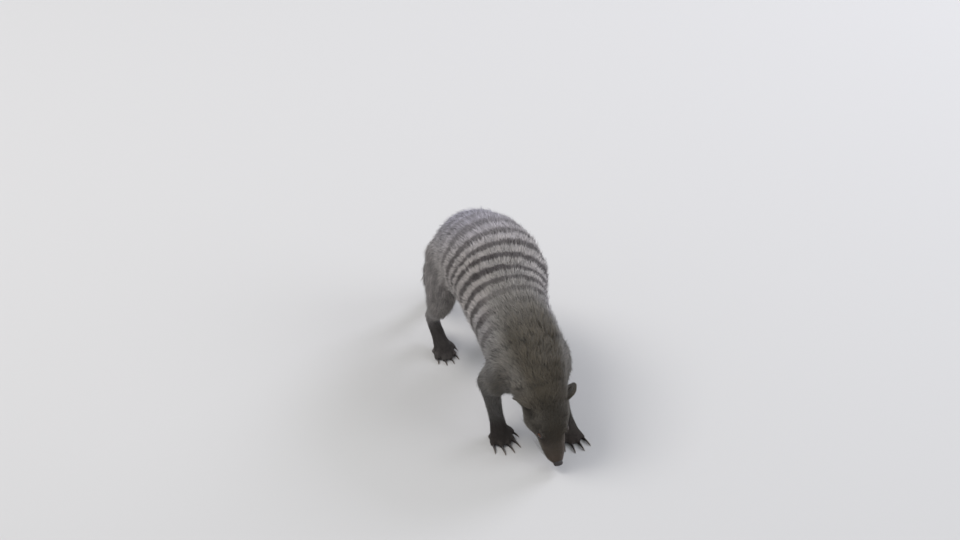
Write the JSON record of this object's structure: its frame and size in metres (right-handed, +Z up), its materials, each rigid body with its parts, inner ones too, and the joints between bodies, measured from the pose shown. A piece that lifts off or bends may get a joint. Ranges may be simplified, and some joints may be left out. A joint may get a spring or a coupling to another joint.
{
  "type": "banded mongoose",
  "caption": "Life-size banded mongoose standing head down with its nose to the ground, back arched and tail curled on the floor; a still model.",
  "frame": {"origin": "under the middle of the whole animal, on the ground", "axes": "+Z up; the animal faces -Y; +X is its left"},
  "size_m": [0.1616, 0.354, 0.1633],
  "materials": {
    "body_coat": "coarse grizzled grey-brown hair with dark bands across the back",
    "leg_coat": "short dark brown hair",
    "nose_leather": "damp bare skin",
    "eye": "wet, dark brown"
  },
  "bodies": {
    "root": {"chest": "body_coat", "ear_left": "body_coat", "ear_right": "body_coat", "eye_left": "eye", "eye_right": "eye", "fore_paw_left": "leg_coat", "fore_paw_right": "leg_coat", "forearm_left": "leg_coat", "forearm_right": "leg_coat", "head": "body_coat", "hind_paw_left": "leg_coat", "hind_paw_right": "leg_coat", "loin": "body_coat", "neck": "body_coat", "nose": "nose_leather", "rump": "body_coat", "shank_left": "leg_coat", "shank_right": "leg_coat", "tail_middle": "body_coat", "tail_root": "body_coat", "tail_tip": "leg_coat", "thigh_left": "body_coat", "thigh_right": "body_coat", "upper_arm_left": "body_coat", "upper_arm_right": "body_coat"}
  },
  "joints": []
}
